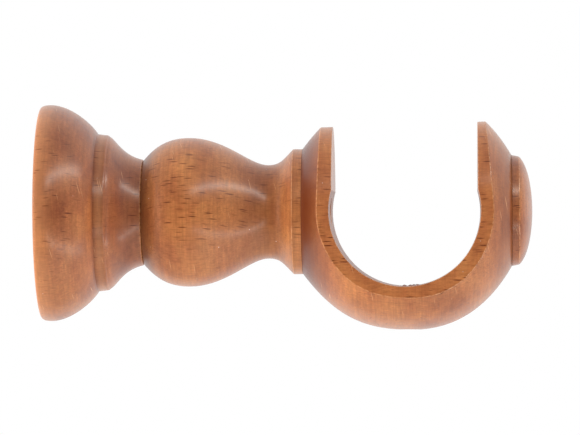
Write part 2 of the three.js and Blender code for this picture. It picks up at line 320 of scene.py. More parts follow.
# A Map Range's sockets are 1 and 2 for what comes in, and 3 and 4 for what goes out
noiseMiddle = {1: 0.3, 2: 0.7}       # most of a noise lies between these
fineNoise = {'Scale': 1, 'Detail': 4, 'Roughness': 0.7}
markCore = 0.35                      # a mark is at full strength this far out from its middle


def addMarks(tree, vector, mark, crowding=None):
    # a drawn-out spot in some of the cells of a grid: its mask, strongest in the middle
    low, high = mark['reach']
    share = mark['share']
    grid = addNode(tree, 'ShaderNodeVectorMath', {
        'operation': 'MULTIPLY', 1: [1 / size for size in mark['cell']],
    }, {0: vector})
    cells = addNode(tree, 'ShaderNodeTexVoronoi', {'Scale': 1, 'Randomness': 1}, {'Vector': grid.outputs[0]})
    chance = addNode(tree, 'ShaderNodeSeparateColor', links={0: cells.outputs['Color']})
    reach = addNode(tree, 'ShaderNodeMapRange', {1: 0, 2: 1, 3: low, 4: high}, {
        'Value': chance.outputs[1],
    })
    nearness = addNode(tree, 'ShaderNodeMath', {'operation': 'DIVIDE'}, {
        0: cells.outputs['Distance'], 1: reach.outputs[0],
    })
    spot = addNode(tree, 'ShaderNodeMapRange', {
        'interpolation_type': 'SMOOTHSTEP', 1: markCore, 2: 1, 3: 1, 4: 0,
    }, {'Value': nearness.outputs[0]})
    luck = chance.outputs[0]
    if crowding:
        luck = addNode(tree, 'ShaderNodeMath', {'operation': 'ADD'}, {0: luck, 1: crowding}).outputs[0]
    present = addNode(tree, 'ShaderNodeMapRange', {
        1: 1 - share, 2: 1 - share * 0.5, 3: 0, 4: 1,
    }, {'Value': luck})
    return addNode(tree, 'ShaderNodeMath', {'operation': 'MULTIPLY'}, {
        0: spot.outputs[0], 1: present.outputs[0],
    }).outputs[0]


def tintWith(tree, colour, code, mask, strength=1.0):
    # lays a colour over another where the mask says
    share = addNode(tree, 'ShaderNodeMath', {'operation': 'MULTIPLY', 1: strength}, {0: mask})
    return addNode(tree, 'ShaderNodeMix', {'data_type': 'RGBA', 7: sRgb(code)}, {
        0: share.outputs[0], 6: colour,
    }).outputs[2]


def findGrain(tree, offset, rayTurn):
    # places in a piece's own blank, in millimetres, and the same places where the grain wanders
    look = beechLook
    coordinates = addNode(tree, 'ShaderNodeTexCoord')
    inMm = addNode(tree, 'ShaderNodeMapping', {
        'Scale': (1 / mm, 1 / mm, 1 / mm), 'Rotation': (math.radians(rayTurn), 0, 0), 'Location': offset,
    }, {'Vector': coordinates.outputs['Object']}).outputs[0]
    drift = addNode(tree, 'ShaderNodeTexNoise', {'Scale': look['driftScale'], 'Detail': 2}, {
        'Vector': inMm,
    })
    centred = addNode(tree, 'ShaderNodeVectorMath', {'operation': 'SUBTRACT', 1: (0.5, 0.5, 0.5)}, {
        0: drift.outputs['Color'],
    })
    wandered = addNode(tree, 'ShaderNodeVectorMath', {'operation': 'MULTIPLY_ADD', 1: look['driftReach']}, {
        0: centred.outputs[0], 2: inMm,
    }).outputs[0]
    return coordinates, inMm, wandered, drift.outputs['Fac']


def drawnOut(tree, vector, stretch, noiseSettings):
    # an uneven pattern, which runs on furthest where the stretch is smallest
    drawn = addNode(tree, 'ShaderNodeVectorMath', {'operation': 'MULTIPLY', 1: stretch}, {0: vector})
    return addNode(tree, 'ShaderNodeTexNoise', noiseSettings, {'Vector': drawn.outputs[0]}).outputs['Fac']


def stainPatches(tree, wandered, tint):
    # soft patches where the stain went in more or less
    look = beechLook
    patches = drawnOut(tree, wandered, look['patchStretch'], {
        'Scale': 1 / look['patch'], 'Detail': 6, 'Roughness': 0.68,
    })
    tone = addNode(tree, 'ShaderNodeMapRange', {
        **noiseMiddle, 3: tint - look['patchTone'], 4: tint + look['patchTone'],
    }, {'Value': patches})
    ramp = addNode(tree, 'ShaderNodeValToRGB', links={'Fac': tone.outputs[0]})
    ramp.color_ramp.elements[0].color = sRgb(look['dark'])
    ramp.color_ramp.elements[1].color = sRgb(look['light'])
    middle = ramp.color_ramp.elements.new(0.5)
    middle.color = sRgb(look['middle'])
    return ramp.outputs['Color']


def shadeGrain(tree, colour, fibres, rings, turning):
    # fibre streaks along the grain, and rings left by the turning tool and the sandpaper
    low, high = beechLook['fibreTone']
    fibreTone = addNode(tree, 'ShaderNodeMapRange', {**noiseMiddle, 3: low, 4: high}, {'Value': fibres})
    darker, paler = beechLook['turningTone']
    ringTone = addNode(tree, 'ShaderNodeMapRange', {
        **noiseMiddle, 3: 1 - darker * turning, 4: 1 + paler * turning,
    }, {'Value': rings})
    shade = addNode(tree, 'ShaderNodeMath', {'operation': 'MULTIPLY'}, {
        0: fibreTone.outputs[0], 1: ringTone.outputs[0],
    })
    return addNode(tree, 'ShaderNodeVectorMath', {'operation': 'SCALE'}, {
        0: colour, 'Scale': shade.outputs[0],
    }).outputs[0]


def paintShadeAndWear(tree, colour, place, shadeAndWearBands):
    # painted shade darkens corners and hollows, and raised rings are painted paler, partly as sanding wear
    # and partly as a painted highlight
    along = addNode(tree, 'ShaderNodeSeparateXYZ', links={0: place})
    for middle, width, depth in shadeAndWearBands:
        away = addNode(tree, 'ShaderNodeMath', {'operation': 'SUBTRACT', 1: middle * mm}, {
            0: along.outputs[0],
        })
        apart = addNode(tree, 'ShaderNodeMath', {'operation': 'ABSOLUTE'}, {0: away.outputs[0]})
        bandMask = addNode(tree, 'ShaderNodeMapRange', {
            'interpolation_type': 'SMOOTHSTEP', 1: 0, 2: width * mm, 3: abs(depth), 4: 0,
        }, {'Value': apart.outputs[0]})
        # above zero the ray colour is laid on as painted shade; below zero the pale colour is sanding wear
        # and a painted highlight
        shade = beechLook['ray' if depth > 0 else 'paleWearAndHighlight']
        colour = tintWith(tree, colour, shade, bandMask.outputs[0])
    return colour


def findRays(tree, normal, wandered, drift, rayTurn):
    # rays are thin sheets that run in from the bark side, so they are dashes only on faces turned to it
    turn = math.radians(rayTurn)
    facing = addNode(tree, 'ShaderNodeVectorMath', {
        'operation': 'DOT_PRODUCT', 1: (0, math.cos(turn), -math.sin(turn)),
    }, {0: normal})
    flatOn = addNode(tree, 'ShaderNodeMath', {'operation': 'ABSOLUTE'}, {0: facing.outputs['Value']})
    begins, full = beechLook['rayFacing']
    cutAcross = addNode(tree, 'ShaderNodeMapRange', {
        'interpolation_type': 'SMOOTHSTEP', 1: begins, 2: full, 3: 0, 4: 1,
    }, {'Value': flatOn.outputs[0]})
    crowding = beechLook['rayCrowding']
    crowded = addNode(tree, 'ShaderNodeMapRange', {**noiseMiddle, 3: -crowding, 4: crowding}, {
        'Value': drift,
    })
    dashes = addMarks(tree, wandered, beechMarks['ray'], crowded.outputs[0])
    return addNode(tree, 'ShaderNodeMath', {'operation': 'MULTIPLY'}, {
        0: dashes, 1: cutAcross.outputs[0],
    }).outputs[0]


def rubThin(tree, colour, inMm, wear):
    # rubbed edges: the stain has gone in broken spots
    rubbed = addNode(tree, 'ShaderNodeTexNoise', {'Scale': beechLook['wornScale'], 'Detail': 3}, {
        'Vector': inMm,
    })
    low, high = beechLook['wornRange']
    mask = addNode(tree, 'ShaderNodeMapRange', {1: low, 2: high, 3: 0, 4: wear}, {
        'Value': rubbed.outputs['Fac'],
    })
    return tintWith(tree, colour, beechLook['paleWearAndHighlight'], mask.outputs[0])


def scratchAndDust(tree, colour, inMm, wandered):
    # pale scratches from handling, a little across the rings, and specks of dust in the lacquer
    tipped = addNode(tree, 'ShaderNodeMapping', {
        'Rotation': (0, math.radians(beechLook['scratchTurn']), 0),
    }, {'Vector': wandered})
    scratch, dust = beechMarks['scratch'], beechMarks['dust']
    scratches = addMarks(tree, tipped.outputs[0], scratch)
    colour = tintWith(tree, colour, beechLook['paleWearAndHighlight'], scratches, scratch['strength'])
    specks = addMarks(tree, inMm, dust)
    return tintWith(tree, colour, beechLook['dust'], specks, dust['strength'])


def reliefOf(tree, fibres, rings, rays, turning):
    # turning rings and fibres stand up a few hundredths of a millimetre, and rays are sunk
    look = beechLook
    ringHeight = addNode(tree, 'ShaderNodeMath', {
        'operation': 'MULTIPLY', 1: look['turningHeight'] * turning,
    }, {0: rings})
    rayHeight = addNode(tree, 'ShaderNodeMath', {'operation': 'MULTIPLY_ADD', 1: -look['rayDepth']}, {
        0: rays, 2: ringHeight.outputs[0],
    })
    fibreHeight = addNode(tree, 'ShaderNodeMath', {'operation': 'MULTIPLY_ADD', 1: look['fibreHeight']}, {
        0: fibres, 2: rayHeight.outputs[0],
    })
    return addNode(tree, 'ShaderNodeBump', {'Strength': 1, 'Distance': mm}, {
        'Height': fibreHeight.outputs[0],
    }).outputs[0]


def stainedBeech(name, blank, tint, shadeAndWearBands=(), rays=0.95, wear=0.0, turning=1.0, gloss=1.0, speckle=0.0):
    look = beechLook
    rayTurn = blank['rayTurn']
    material, tree = newMaterial(name)
    coordinates, inMm, wandered, drift = findGrain(tree, blank['offset'], rayTurn)
    fibres = drawnOut(tree, wandered, look['fibreStretch'], fineNoise)
    around = (1 / look['turningPitch'], look['turningDrift'], look['turningDrift'])
    rings = drawnOut(tree, inMm, around, fineNoise)

    colour = stainPatches(tree, wandered, tint)
    colour = shadeGrain(tree, colour, fibres, rings, turning)
    colour = paintShadeAndWear(tree, colour, coordinates.outputs['Object'], shadeAndWearBands)
    dashes = findRays(tree, coordinates.outputs['Normal'], wandered, drift, rayTurn)
    colour = tintWith(tree, colour, look['ray'], dashes, rays)
    pore = beechMarks['pore']
    colour = tintWith(tree, colour, look['ray'], addMarks(tree, wandered, pore), pore['strength'])
    if speckle:
        endGrain = addMarks(tree, wandered, beechMarks['speckle'])
        colour = tintWith(tree, colour, look['ray'], endGrain, speckle)
    if wear:
        colour = rubThin(tree, colour, inMm, wear)
    colour = scratchAndDust(tree, colour, inMm, wandered)

    rough = look['roughness'] + look['matting'] * (1 - gloss)
    smoother, rougher = look['roughnessSwing']
    shine = addNode(tree, 'ShaderNodeMapRange', {**noiseMiddle, 3: rough - smoother, 4: rough + rougher}, {
        'Value': fibres,
    })
    shader = addNode(tree, 'ShaderNodeBsdfPrincipled', {
        'IOR': look['ior'], 'Specular IOR Level': look['shine'] * gloss,
        'Coat Weight': look['coat'] * gloss, 'Coat Roughness': look['coatRoughness'],
    }, {
        'Base Color': colour, 'Roughness': shine.outputs[0],
        'Normal': reliefOf(tree, fibres, rings, dashes, turning),
    })
    addNode(tree, 'ShaderNodeOutputMaterial', links={'Surface': shader.outputs[0]})
    return material


# Each wooden piece comes from its own blank: offset is the blank's place in the board, and rayTurn
# turns its bark side. Shade and wear bands are (place along X, half width, depth): a depth above zero is
# painted shade in a corner or hollow, and a depth below zero is a raised ring painted paler, partly the
# sandpaper's wear and partly a painted highlight.
blanks = {
    'rose': {
        'offset': (11, 3, 40),
        'rayTurn': 8,
        'tint': 0.38,
        # painted shade in the corners, the cove and at the frayed end; the rim and bead are painted paler,
        # sanded and a painted highlight
        'shadeAndWearBands': [
            (1.5, 7, -0.3),        # rim
            (19.9, 0.9, 0.4),      # corner behind the bead
            (22, 2.2, -0.25),      # bead
            (30.4, 6.5, 0.3),      # cove
            (35.9, 0.5, 0.2),      # frayed end
        ],
    },
    'stem': {
        'offset': (140, 9, 5),
        'rayTurn': 18,
        'tint': 0.68,
        # painted shade at the foot of the vase, in the neck and behind the fillet
        'shadeAndWearBands': [
            (36.1, 5, 0.5),        # foot of the vase
            (77, 13, 0.34),        # neck
            (88.4, 1.2, 0.25),     # corner behind the fillet
        ],
    },
    'cup': {
        'offset': (260, 17, 25),
        'rayTurn': 14,
        'tint': 0.57,
        # painted shade by the joints at the stem and at the button
        'shadeAndWearBands': [
            (92.5, 11, 0.95),      # corner at the stem
            (164.7, 10, 0.42),     # corner at the button
        ],
    },
    'button': {
        'offset': (390, 6, 60),
        'rayTurn': -20,
        'tint': 0.42,
        # painted shade in the corner at the cup
        'shadeAndWearBands': [
            (164.9, 2.5, 0.25),    # corner at the cup
        ],
        'speckle': 0.5,            # its fillet is end grain
    },
}


def woodSet(piece):
    # one blank's surfaces in the order of woodFaces: turned, rubbed on the edges, sawn, and bored
    blank = blanks[piece]
    tint = blank['tint']
    darkTint = tint + beechLook['boredTint']
    return [
        stainedBeech('turned_beech_' + piece, blank, tint, blank['shadeAndWearBands'], speckle=blank.get('speckle', 0)),
        stainedBeech('rubbed_beech_' + piece, blank, tint, wear=0.6),
        stainedBeech('sawn_beech_' + piece, blank, tint, rays=1.0, turning=0.5),
        stainedBeech('bored_beech_' + piece, blank, darkTint, rays=0.6, gloss=0.7),
    ]


metalLook = {
    'cloudScale': 0.25,        # clouds of some 4 mm
    'roughnessSwing': (0.08, 0.1),
    'markDepth': 0.01,
    'markStrength': 0.5,
}


def plainMetal(name, colour, roughness, grain, spangle):
    # metal with fine machining marks, and cloudy patches where it is plated
    look = metalLook
    material, tree = newMaterial(name)
    place = addNode(tree, 'ShaderNodeTexCoord').outputs['Object']
    inMm = addNode(tree, 'ShaderNodeMapping', {'Scale': (1 / mm, 1 / mm, 1 / mm)}, {'Vector': place})
    marks = addNode(tree, 'ShaderNodeTexNoise', {'Scale': 1 / grain, 'Detail': 3}, {
        'Vector': inMm.outputs[0],
    })
    clouds = addNode(tree, 'ShaderNodeTexNoise', {'Scale': look['cloudScale'], 'Detail': 4}, {
        'Vector': inMm.outputs[0],
    })
    tone = addNode(tree, 'ShaderNodeMapRange', {**noiseMiddle, 3: 1 - spangle, 4: 1 + spangle}, {
        'Value': clouds.outputs['Fac'],
    })
    base = addNode(tree, 'ShaderNodeRGB')
    base.outputs[0].default_value = sRgb(colour)
    tinted = addNode(tree, 'ShaderNodeVectorMath', {'operation': 'SCALE'}, {
        0: base.outputs[0], 'Scale': tone.outputs[0],
    })
    smoother, rougher = look['roughnessSwing']
    shine = addNode(tree, 'ShaderNodeMapRange', {
        **noiseMiddle, 3: roughness - smoother, 4: roughness + rougher,
    }, {'Value': marks.outputs['Fac']})
    bump = addNode(tree, 'ShaderNodeBump', {
        'Strength': look['markStrength'], 'Distance': look['markDepth'] * mm,
    }, {'Height': marks.outputs['Fac']})
    shader = addNode(tree, 'ShaderNodeBsdfPrincipled', {'Metallic': 1}, {
        'Base Color': tinted.outputs[0], 'Roughness': shine.outputs[0], 'Normal': bump.outputs[0],
    })
    addNode(tree, 'ShaderNodeOutputMaterial', links={'Surface': shader.outputs[0]})
    return material


print('mixing the finishes')
roseWood = woodSet('rose')
stemWood = woodSet('stem')
cupWood = woodSet('cup')
buttonWood = woodSet('button')
# Mild steel, bright zinc plated: a grey mirror with faint clouds
zincPlate = plainMetal('zinc_plated_steel', '#b9bdc0', 0.32, 0.3, spangle=0.06)
# Free-cutting brass, turned and left bare: warm and a little dull
turnedBrass = plainMetal('turned_brass', '#c9a35a', 0.3, 0.15, spangle=0.03)


woodFaces = {'turned': 0, 'edge': 1, 'sawn': 2, 'bored': 3}      # material slots on a wooden piece

# The handles in an outline are given in millimetres from their knot
roseMake = {
    'wallRing': 36.4,          # radius of the flat ring on the wall
    'rimDepth': 3.5,           # rounding from the wall to the widest place
    'bellDepth': 16.4,         # widest place to the bead
    'beadRadius': 27.6,
    'beadTaper': 0.5,
    'beadWidth': 3.7,
    'waist': 18.4,             # radius where it meets the stem
    'plateRoom': 0.5,          # round and in front of the wall plate
    'studHole': 4.6,
    'beadRound': 0.5,
    'fray': 0.4,               # broken fibres at the front edge
    'tightness': 0.08,         # the stem clamps it, so the joint shows hardly any gap
    'edge': 0.22,              # softened edges
}


def makeRose():
    low, high = boxIn('wall_rose')
    plateHigh = boxIn('wall_plate')[1]
    widest = low.x + roseMake['rimDepth']
    bead = widest + roseMake['bellDepth']
    cove = bead + roseMake['beadWidth']
    beadRadius = roseMake['beadRadius']
    coveRadius = beadRadius - roseMake['beadTaper']
    recess = plateHigh.x + roseMake['plateRoom']
    recessRadius = plateHigh.z + roseMake['plateRoom']
    fray = roseMake['fray']
    front = high.x + roseMake['tightness']
    knots = [
        (recess, roseMake['studHole']),
        (recess, recessRadius),
        (low.x, recessRadius),
        (low.x, roseMake['wallRing'], None, (0, 1.1)),
        (widest, high.z, (-2.3, 0), (5.9, 0)),
        (bead, beadRadius, (-3.1, 4.8), None),
        (cove - roseMake['beadRound'], coveRadius + 0.1, None, (0.45, -0.05)),
        (cove + 0.35, coveRadius - 0.4, (-0.2, 0.3), (2.2, -1.0)),
        (front - fray, roseMake['waist'] + 0.15, (-7.2, 1.5), None),
        (front, roseMake['waist'] - fray),
        (front, roseMake['studHole']),
    ]
    rose = turnOnLathe('turned_rose', knots, roseWood, closed=True, steps=192, fineness=18)
    softenEdges(rose, roseMake['edge'], edgeSlot=woodFaces['edge'])
    for face in rose.data.polygons:
        place = face.center / mm
        if place.x > front - fray and math.hypot(place.y, place.z) > roseMake['waist'] - fray:
            face.material_index = woodFaces['edge']
    return rose


stemMake = {
    'waist': 18.4,
    'vaseRise': 15.9,          # end to the widest place of the vase
    'vaseRadius': 26.06,
    'vaseFall': 27.6,          # widest place to the neck
    'neckRadius': 16.38,
    'neckFlare': 8.8,          # neck to the fillet
    'filletRadius': 21.9,
    'insertRoom': 0.15,
    'studHole': 4.3,
    'studRoom': 4,             # empty hole beyond the stud's end
    'screwHole': 2.65,
    'edge': 0.2,
}


def makeStem():
    low, high = boxIn('stem')
    insertHigh = boxIn('threaded_insert')[1]
    studEnd = boxIn('mounting_stud')[1].x + stemMake['studRoom']
    screwEnd = boxIn('cup_screw')[0].x - stemMake['insertRoom']
    vase = low.x + stemMake['vaseRise']
    neck = vase + stemMake['vaseFall']
    fillet = neck + stemMake['neckFlare']
    insertHole = insertHigh.z + stemMake['insertRoom']
    insertEnd = insertHigh.x + stemMake['insertRoom']
    start = low.x - roseMake['tightness']
    knots = [
        (studEnd, 0),
        (studEnd, stemMake['studHole']),
        (insertEnd, stemMake['studHole']),
        (insertEnd, insertHole),
        (start, insertHole),
        (start, stemMake['waist'], None, (4.7, 5.6)),
        (vase, stemMake['vaseRadius'], (-6.6, 0), (12.6, 0)),
        (neck, stemMake['neckRadius'], (-6.6, 0), (4.1, 0)),
        (fillet, stemMake['filletRadius'], (-3.7, -3.8), None),
        (high.x, stemMake['filletRadius']),
        (high.x, stemMake['screwHole']),
        (screwEnd, stemMake['screwHole']),
        (screwEnd, 0),
    ]
    stem = turnOnLathe('vase_stem', knots, stemWood, steps=176, fineness=18)
    softenEdges(stem, stemMake['edge'], edgeSlot=woodFaces['edge'], crisp=(start, high.x))
    return stem


cupMake = {
    'neckRadius': 21.9,        # where the ball starts, at the stem
    'ballRadius': 41.54,
    'crownAhead': 2.4,         # widest place, ahead of the pole's centre
    'buttonRadius': 19.4,
    'backWall': 9.55,          # wood behind the bore
    'seatRadius': 26.25,
    'slotWidth': 50.5,
    'backArmTop': 29.6,
    'frontArmTop': 31.1,
    'screwHole': 2.65,
    'headHole': 4.95,
    'headRoom': 0.15,          # between the screw's cone and its seat
    'accessHole': 6.1,
    'pilot': 1.85,
    'counterbore': 3.7,
    'lockLength': 12,          # the pole's screw, without its head
    'screwTravel': 4.4,        # room for its head to rise in the counterbore
    'tightness': 0.14,         # pressed nearer to the stem than the solid, to close the joint
    'edge': 0.22,
}

# How near a face has to lie to a cut surface to be part of it, and how squarely it has to face it
cupLimits = {
    'snap': 0.05,
    'flat': 0.01,
    'flatFacing': 0.99,
    'bore': 0.05,
    'boreFacing': 0.1,
    'slot': 0.02,
    'board': 0.04,
}


def poleCentre():
    # how far the pole's centre is from the wall
    return boxIn('pole_cup')[0].x + cupMake['backWall'] + cupMake['seatRadius']


def lockPlace():
    # where the pole's screw stands along the bracket
    low, high = boxIn('pole_screw')
    return (low.x + high.x) / 2


def boardTop(flat):
    # the board's round top edge rises a little to the front: its slope, and its middle over the pole's centre
    rise = cupMake['frontArmTop'] - cupMake['backArmTop']
    middle = (cupMake['frontArmTop'] + cupMake['backArmTop']) / 2
    return rise / cupMake['slotWidth'], middle - flat


def makeBoard(centre, flat, reach):
    # the board that the ball is turned from
    clearSelection()
    bpy.ops.mesh.primitive_cylinder_add(
        vertices=256, radius=flat * mm, depth=2 * reach * mm, rotation=(0, math.pi / 2, 0),
    )
    board = bpy.context.object
    settle(board)
    bpy.ops.object.mode_set(mode='EDIT')
    bpy.ops.mesh.select_all(action='SELECT')
    bpy.ops.mesh.bisect(
        plane_co=(0, 0, 0), plane_no=(0, 0, -1), clear_outer=True, threshold=weld['sliver'],
    )
    bpy.ops.mesh.select_all(action='SELECT')
    bpy.ops.mesh.region_to_loop()
    bpy.ops.mesh.extrude_edges_move(TRANSFORM_OT_translate={'value': (0, 0, -reach * mm)})
    bpy.ops.mesh.edge_face_add()
    bpy.ops.mesh.select_all(action='SELECT')
    bpy.ops.mesh.normals_make_consistent(inside=False)
    bpy.ops.object.mode_set(mode='OBJECT')
    slope, middle = boardTop(flat)
    board.rotation_euler = (0, -math.atan(slope), 0)
    board.location = (centre * mm, 0, middle * mm)
    settle(board)
    return board


def offBoard(place, centre, flat):
    # how far a place stands off the board's round top edge
    slope, middle = boardTop(flat)
    height = (place.z - middle - (place.x - centre) * slope) * math.cos(math.atan(slope))
    return math.hypot(place.y, height) - flat if height > 0 else abs(place.y) - flat


def boreForPole(cup, centre, flat, reach):
    # the round seat, open at the top through a slot
    clearSelection()
    bpy.ops.mesh.primitive_cylinder_add(
        vertices=192, radius=cupMake['seatRadius'] * mm, depth=2 * (flat + 2 * past) * mm,
        location=(centre * mm, 0, 0), rotation=(math.pi / 2, 0, 0),
    )
    bore = bpy.context.object
    settle(bore)
    half, side = cupMake['slotWidth'] / 2, flat + 2 * past
    cutWith(bore, block((centre - half, -side, 0), (centre + half, side, reach)), 'UNION')
    cutWith(cup, bore)


def boreForLock(cup, reach):
    # a pilot hole for the pole's screw, and a counterbore for its head
    seat = boxIn('pole_screw')[1].z - cupMake['lockLength'] + cupMake['screwTravel']
    top = -cupMake['seatRadius'] / 2
    hole = turnOnLathe('lock_hole', [
        (-reach, 0),
        (-reach, cupMake['counterbore']),
        (seat, cupMake['counterbore']),
        (seat, cupMake['pilot']),
        (top, cupMake['pilot']),
        (top, 0),
    ], steps=48, upright=lockPlace())
    cutWith(cup, hole)


def sortCupFaces(cup, centre, flat):
    # sawn flats, bored seat and cut arm ends are told apart by where they lie
    limits = cupLimits
    half = cupMake['slotWidth'] / 2
    for face in cup.data.polygons:
        place, way = face.center / mm, face.normal
        fromCentre = math.hypot(place.x - centre, place.z)
        onFlat = abs(way.y) > limits['flatFacing'] and abs(abs(place.y) - flat) < limits['flat']
        inSeat = abs(way.y) < limits['boreFacing'] and fromCentre < cupMake['seatRadius'] + limits['bore']
        inSlot = place.z > 0 and abs(place.x - centre) < half + limits['slot']
        onTop = place.z > 0 and abs(offBoard(place, centre, flat)) < limits['board']
        if inSeat and not onFlat:
            face.material_index = woodFaces['bored']
        elif onFlat or inSlot or onTop:
            face.material_index = woodFaces['sawn']


def makeCup():
    low, high = boxIn('pole_cup')
    centre = poleCentre()
    crown = centre + cupMake['crownAhead']
    screwHigh = boxIn('cup_screw')[1]
    headCone = screwHigh.x - (screwHigh.z - cupMake['screwHole'] + cupMake['headRoom'])
    start = low.x - cupMake['tightness']
    knots = [
        (start, cupMake['screwHole']),
        (start, cupMake['neckRadius'], None, (12.3, 16.5)),
        (crown, cupMake['ballRadius'], (-15.1, 0), (10.8, 0)),
        (high.x, cupMake['buttonRadius'], (-10.4, 18.1), None),
        (high.x, cupMake['accessHole']),
        (centre, cupMake['accessHole']),
        (centre, cupMake['headHole']),
        (screwHigh.x, cupMake['headHole']),
        (headCone, cupMake['screwHole']),
    ]
    cup = turnOnLathe('ball_cup', knots, cupWood, closed=True, steps=224, fineness=30)

    flat = high.y
    reach = cupMake['ballRadius'] * 2
    cutWith(cup, makeBoard(centre, flat, reach), 'INTERSECT')
    boreForPole(cup, centre, flat, reach)
    boreForLock(cup, reach)
    for vertex in cup.data.vertices:
        if abs(abs(vertex.co.y) / mm - flat) < cupLimits['snap']:
            vertex.co.y = math.copysign(flat * mm, vertex.co.y)
    sortCupFaces(cup, centre, flat)
    softenEdges(cup, cupMake['edge'], edgeSlot=woodFaces['edge'], crisp=(start, high.x))
    return cup


buttonMake = {
    'fillet': 2.5,
    'taper': 0.5,
    'spigot': 6,
    'spigotLength': 8.5,
    'edge': 0.25,
}


def makeButton():
    low, high = boxIn('front_button')
    back = low.x + buttonMake['spigotLength'] - cupMake['tightness']
    dome = back + buttonMake['fillet']
    rim = high.z
    domeRadius = rim - buttonMake['taper']
    knots = [
        (low.x, 0),
        (low.x, buttonMake['spigot']),
        (back, buttonMake['spigot']),
        (back, rim),
        (dome, domeRadius, None, (3.5, -3.2)),
        (high.x, 0, (0, domeRadius / 3), None),
    ]
    button = turnOnLathe('dome_button', knots, buttonWood, steps=144, fineness=24)
    softenEdges(button, buttonMake['edge'], edgeSlot=woodFaces['edge'], crisp=(back,))
    return button


tornMake = {
    'inner': 1.9,              # just outside the screw's hole
    'outer': 3.5,
    'sunk': 0.3,               # how deep the ring's foot lies in the floor
    'height': 0.5,
    'coarseness': 0.9,         # size of a lump
    'alongGrain': 0.35,        # lumps are drawn out along the pole by this
    'fullness': 0.55,
    'spread': 0.25,            # how uneven the ring is on its way round
    'spreadPitch': 1.7,
}


def makeTornFibres():
    # the screw has lifted a ragged ring of fibres on the bore's floor; heights above the floor are
    # shares of the lumps' height until they are lifted
    make = tornMake
    lockX = lockPlace()
    centre = poleCentre()
    ring = turnOnLathe('torn_fibres', [
        (-make['sunk'], make['inner']),
        (0.5, make['inner'] + 0.1),
        (1, make['inner'] + 0.5),
        (0.6, make['inner'] + 0.9),
        (0.2, make['outer'] - 0.2),
        (-make['sunk'], make['outer']),
    ], [cupWood[woodFaces['bored']]], closed=True, steps=96, upright=lockX)
    for vertex in ring.data.vertices:
        x, y, z = vertex.co / mm
        lump = noise.noise(Vector((x, y * make['alongGrain'], 7)) / make['coarseness'])
        away = math.atan2(y, x - lockX)
        swing = noise.noise(Vector((math.cos(away), math.sin(away), 3)) * make['spreadPitch'])
        spread = 1 + make['spread'] * swing
        floor = -math.sqrt(cupMake['seatRadius'] ** 2 - (x - centre) ** 2)
        lifted = z * make['height'] * max(0.1, make['fullness'] + lump) if z > 0 else z
        vertex.co = Vector((lockX + (x - lockX) * spread, y * spread, floor + lifted)) * mm
    return ring


print('turning the wooden pieces')
rose = makeRose()
stem = makeStem()
cup = makeCup()
tornFibres = makeTornFibres()
button = makeButton()


plateMake = {
    'edge': 0.5,
    'soft': 0.12,              # rounding of what is still sharp
    'circle': 16,              # radius of the circle of wall screw holes
    'hole': 2.6,
    'sink': 4.8,
    'holes': 3,
    'rivetHole': 4.1,
    'rivetSink': 6.6,
    'rivetDepth': 2.1,
}


def makePlate():
    low, high = boxIn('wall_plate')
    edge = plateMake['edge']
    plate = turnOnLathe('zinc_plate', [
        (low.x, plateMake['rivetSink']),
        (low.x, high.z - edge),
        (low.x + edge, high.z),
        (high.x - edge, high.z),
        (high.x, high.z - edge),
        (high.x, plateMake['rivetHole']),
        (plateMake['rivetDepth'], plateMake['rivetHole']),
    ], [zincPlate], closed=True, steps=128)
    for index in range(plateMake['holes']):
        angle = math.pi / 2 + index * math.tau / plateMake['holes']
        drill = turnOnLathe('drill', [
            (low.x - past, 0),
            (low.x - past, plateMake['hole']),
            (high.x - plateMake['sink'] + plateMake['hole'], plateMake['hole']),
            (high.x, plateMake['sink']),
            (high.x + past, plateMake['sink']),
            (high.x + past, 0),
        ], steps=48)
        drill.location = Vector((0, math.cos(angle), math.sin(angle))) * plateMake['circle'] * mm
        settle(drill)
        cutWith(plate, drill)
    softenEdges(plate, plateMake['soft'])
    return plate


studMake = {
    'pitch': 1.25,
    'crest': 3.98,
    'root': 3.38,
    'plain': 4,                # plain length next to the plate
    'runOut': 0.6,             # slope from the plain length down to the root
    'threadFrom': 0.8,
    'tip': 1.2,
    'rivetHead': 6.5,
    'rivetDepth': 2,
    'soft': 0.04,
}


def makeStud():
    low, high = boxIn('mounting_stud')
    make = studMake
    crest, root, plain = make['crest'], make['root'], make['plain']
    threadStart = plain + make['threadFrom']
    threadEnd = high.x - make['tip'] / 2
    stud = turnOnLathe('zinc_stud', [
        (low.x, 0),
        (low.x, make['rivetHead']),
        (low.x + make['rivetDepth'], crest),
        (plain, crest),
        (plain + make['runOut'], root),
        *threadKnots(threadStart, threadEnd, root, make['pitch']),
        (high.x, root - make['tip'] / 2),
        (high.x, 0),
    ], [zincPlate], steps=64)
    windThread(stud, make['pitch'], threadStart, threadEnd, crest - root, root)
    softenEdges(stud, make['soft'], **threadSoftening)
    return stud


insertMake = {
    'bore': 4.1,
    'groove': 4.5,
    'pitch': 1.25,
    'root': 5.68,
    'crest': 6.56,
    'coarsePitch': 2.5,
    'coarseRidge': 0.3,
    'margin': 0.2,             # no thread this near to an end
    'slotWidth': 1.6,
    'slotDepth': 2,
    'slotReach': 9,
    'soft': 0.04,
}


